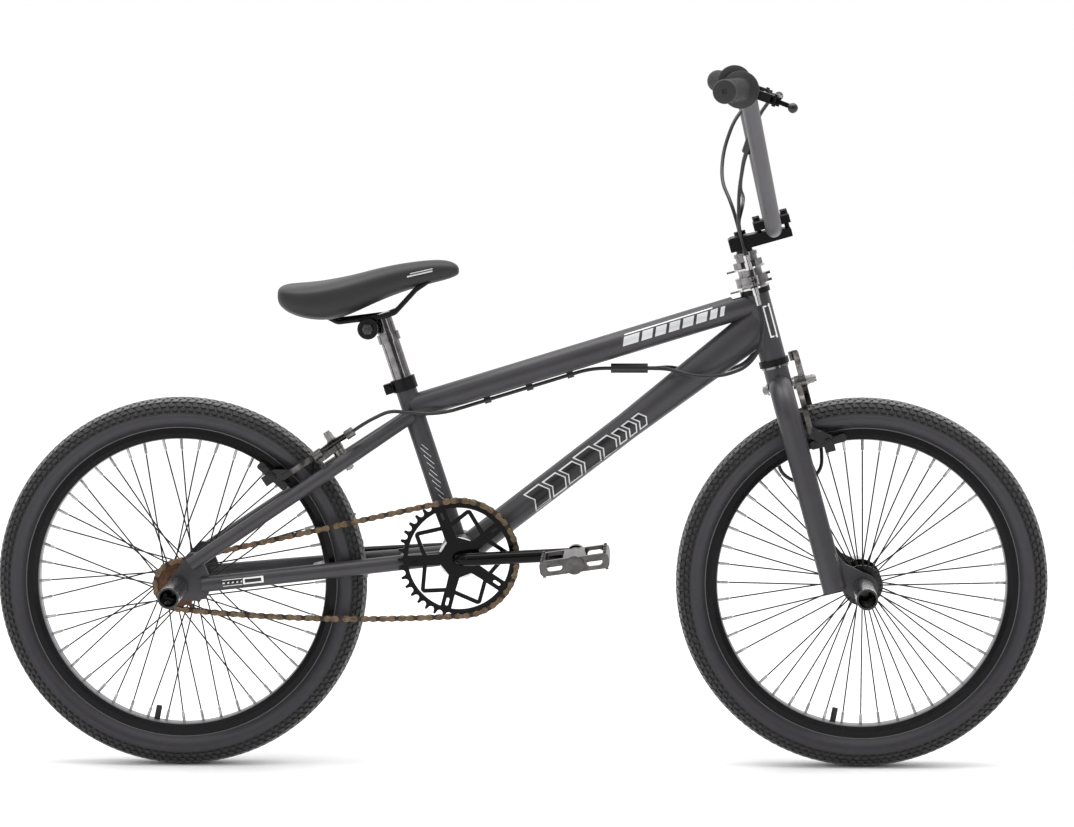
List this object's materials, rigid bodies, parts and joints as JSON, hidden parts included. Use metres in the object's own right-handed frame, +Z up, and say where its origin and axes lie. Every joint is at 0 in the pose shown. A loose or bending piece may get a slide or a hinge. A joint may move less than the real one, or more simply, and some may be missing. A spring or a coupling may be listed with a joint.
{
  "type": "bmx bicycle",
  "caption": "Freestyle BMX bicycle with 20 inch wheels, axle pegs, cable detangler, side-pull brakes and platform pedals.",
  "frame": {"origin": "on the ground, midway between the wheels", "axes": "+X forward, +Y the rider's left, +Z up"},
  "size_m": [1.428, 0.6782, 0.9483],
  "materials": {
    "satin_frame": "satin charcoal paint",
    "gloss_black": "glossy black paint",
    "stem_black": "satin black paint",
    "black_rim": "gloss black",
    "steel_black": "black spokes and hub",
    "tyre": "dark grey rubber tread, smooth sidewall",
    "tube_rubber": "matte",
    "grip_rubber": "matte black",
    "saddle_vinyl": "matt black vinyl",
    "chrome": "bright plated",
    "steel": "plated steel",
    "dark_alloy": "dull alloy",
    "alloy": "satin alloy",
    "chain_bronze": "brown steel",
    "black_plastic": "cable housing",
    "black_gloss_lever": "black lever"
  },
  "bodies": {
    "frame": {"head_tube": "satin_frame", "top_tube": "satin_frame", "down_tube": "satin_frame", "seat_tube": "satin_frame", "bottom_bracket_shell": "satin_frame", "chain_stays": "satin_frame", "seat_stays": "satin_frame", "rear_dropouts": "satin_frame", "headset_cups": "steel_black", "bottom_bracket_cups": "chrome", "seat_clamp": "steel_black", "cable_clips": "chrome", "gyro_lower_mount": "chrome", "rear_brake_cable": "black_plastic", "chain_inner_links": "chain_bronze", "chain_outer_links": "chain_bronze", "rear_axle": "steel", "rear_pegs": "chrome", "rear_brake_bolt": "steel"},
    "gyro_lower": {"gyro_lower_plate": "chrome"},
    "gyro_upper": {"gyro_upper_plate": "chrome"},
    "seat_post": {"seat_post": "chrome"},
    "saddle": {"saddle_clamp": "steel", "saddle_rails": "steel_black", "saddle_cushion": "saddle_vinyl"},
    "rear_wheel": {"rear_tyre": "tyre", "rear_inner_tube": "tube_rubber", "rear_rim": "black_rim", "rear_spokes": "steel_black", "rear_hub": "steel_black"},
    "freewheel": {"freewheel": "chain_bronze"},
    "front_wheel": {"front_tyre": "tyre", "front_inner_tube": "tube_rubber", "front_rim": "black_rim", "front_spokes": "steel_black", "front_hub": "steel_black"},
    "fork": {"fork_steerer": "steel", "fork_legs": "satin_frame", "stem_body": "stem_black", "stem_cap": "stem_black", "handlebar": "satin_frame", "handlebar_grips": "grip_rubber", "lever_brackets": "black_gloss_lever", "headset_locknut": "chrome", "gyro_upper_mount": "chrome", "front_brake_cable": "black_plastic", "gyro_upper_cables": "black_plastic", "front_axle": "steel", "front_pegs": "chrome", "front_brake_bolt": "steel"},
    "right_brake_lever": {"right_brake_lever": "black_gloss_lever"},
    "left_brake_lever": {"left_brake_lever": "black_gloss_lever"},
    "front_brake_arm_right": {"front_brake_arm_right": "alloy"},
    "front_brake_arm_left": {"front_brake_arm_left": "alloy"},
    "rear_brake_arm_right": {"rear_brake_arm_right": "alloy"},
    "rear_brake_arm_left": {"rear_brake_arm_left": "alloy"},
    "crank": {"crank": "gloss_black", "chainring": "gloss_black"},
    "right_pedal": {"right_pedal": "dark_alloy"},
    "left_pedal": {"left_pedal": "dark_alloy"}
  },
  "joints": [
    {"name": "steering", "type": "hinge", "parent": "frame", "child": "fork", "pos_m": [0.34118, 0, 0.55609], "axis": [-0.2588, 0, 0.9659], "continuous": true},
    {"name": "front_wheel_spin", "type": "hinge", "parent": "fork", "child": "front_wheel", "pos_m": [0.462, 0, 0.252], "axis": [0, 1, 0], "continuous": true},
    {"name": "rear_wheel_spin", "type": "hinge", "parent": "frame", "child": "rear_wheel", "pos_m": [-0.462, 0, 0.252], "axis": [0, 1, 0], "continuous": true},
    {"name": "crank_spin", "type": "hinge", "parent": "frame", "child": "crank", "pos_m": [-0.08275, 0, 0.2895], "axis": [0, 1, 0], "continuous": true, "deforming": ["chain_inner_links", "chain_outer_links"]},
    {"name": "freewheel_spin", "type": "hinge", "parent": "frame", "child": "freewheel", "pos_m": [-0.462, 0, 0.252], "axis": [0, 1, 0], "continuous": true, "deforming": ["chain_inner_links", "chain_outer_links"]},
    {"name": "right_pedal_spin", "type": "hinge", "parent": "crank", "child": "right_pedal", "pos_m": [0.07673, -0.15, 0.30233], "axis": [0, 1, 0], "continuous": true},
    {"name": "left_pedal_spin", "type": "hinge", "parent": "crank", "child": "left_pedal", "pos_m": [-0.24223, 0.15, 0.27667], "axis": [0, 1, 0], "continuous": true},
    {"name": "right_brake_lever_pull", "type": "hinge", "parent": "fork", "child": "right_brake_lever", "pos_m": [0.33632, -0.215, 0.90958], "axis": [-0.3256, 0, -0.9455], "range_deg": [0, 20]},
    {"name": "left_brake_lever_pull", "type": "hinge", "parent": "fork", "child": "left_brake_lever", "pos_m": [0.33632, 0.215, 0.90958], "axis": [0.3256, 0, 0.9455], "range_deg": [0, 20]},
    {"name": "front_brake_arm_left_turn", "type": "hinge", "parent": "fork", "child": "front_brake_arm_left", "pos_m": [0.35127, 0, 0.51842], "axis": [-0.9659, 0, -0.2588], "range_deg": [0, 1.4], "deforming": ["front_brake_cable"]},
    {"name": "front_brake_arm_right_turn", "type": "hinge", "parent": "fork", "child": "front_brake_arm_right", "pos_m": [0.35127, 0, 0.51842], "axis": [0.9659, 0, 0.2588], "range_deg": [0, 1.4], "deforming": ["front_brake_cable"]},
    {"name": "rear_brake_arm_right_turn", "type": "hinge", "parent": "frame", "child": "rear_brake_arm_right", "pos_m": [-0.24, 0, 0.41855], "axis": [0.5548, 0, -0.832], "range_deg": [0, 1.4], "deforming": ["rear_brake_cable"]},
    {"name": "rear_brake_arm_left_turn", "type": "hinge", "parent": "frame", "child": "rear_brake_arm_left", "pos_m": [-0.24, 0, 0.41855], "axis": [-0.5548, 0, 0.832], "range_deg": [0, 1.4], "deforming": ["rear_brake_cable"]},
    {"name": "gyro_lower_slide", "type": "slide", "parent": "frame", "child": "gyro_lower", "axis": [-0.2588, 0, 0.9659], "range_m": [0, 0.008], "deforming": ["rear_brake_cable"]},
    {"name": "gyro_upper_slide", "type": "slide", "parent": "fork", "child": "gyro_upper", "axis": [-0.2588, 0, 0.9659], "range_m": [0, 0.008], "deforming": ["gyro_upper_cables"]},
    {"name": "seat_post_slide", "type": "slide", "parent": "frame", "child": "seat_post", "axis": [-0.309, 0, 0.9511], "range_m": [-0.05, 0.05]},
    {"name": "saddle_tilt", "type": "hinge", "parent": "seat_post", "child": "saddle", "pos_m": [-0.20494, 0, 0.59889], "axis": [0, 1, 0], "range_deg": [-15, 15]}
  ],
  "couplings": [
    {"joint": "freewheel_spin", "follows": "crank_spin", "ratio": 2.4375},
    {"joint": "front_brake_arm_left_turn", "follows": "left_brake_lever_pull", "ratio": 0.065},
    {"joint": "front_brake_arm_right_turn", "follows": "left_brake_lever_pull", "ratio": 0.065},
    {"joint": "rear_brake_arm_left_turn", "follows": "right_brake_lever_pull", "ratio": 0.065},
    {"joint": "rear_brake_arm_right_turn", "follows": "right_brake_lever_pull", "ratio": 0.065},
    {"joint": "gyro_lower_slide", "follows": "right_brake_lever_pull", "m_per_rad": 0.0229},
    {"joint": "gyro_upper_slide", "follows": "right_brake_lever_pull", "m_per_rad": 0.0229}
  ]
}
